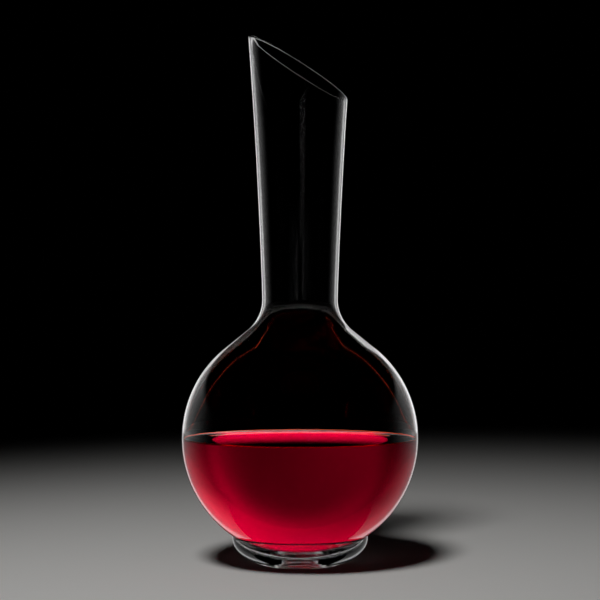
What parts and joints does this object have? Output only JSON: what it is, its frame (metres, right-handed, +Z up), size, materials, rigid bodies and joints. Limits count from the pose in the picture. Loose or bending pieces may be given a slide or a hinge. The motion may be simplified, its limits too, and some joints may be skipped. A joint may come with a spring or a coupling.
{
  "type": "wine decanter",
  "caption": "Clear blown-glass decanter with a round bowl, a slim flared neck, a slant-cut pouring mouth and a rounded hollow foot, holding red wine.",
  "frame": {"origin": "centre of the resting ring under the foot, on the surface the decanter stands on", "axes": "+Z up along the axis of the bowl and neck; the mouth's low pouring lip is towards +X and its high tip towards -X"},
  "size_m": [0.146, 0.146, 0.3275],
  "materials": {
    "clear_glass": "polished",
    "red_wine": "polished"
  },
  "bodies": {
    "root": {"bowl_and_neck": "clear_glass", "foot": "clear_glass", "wine": "red_wine"}
  },
  "joints": []
}
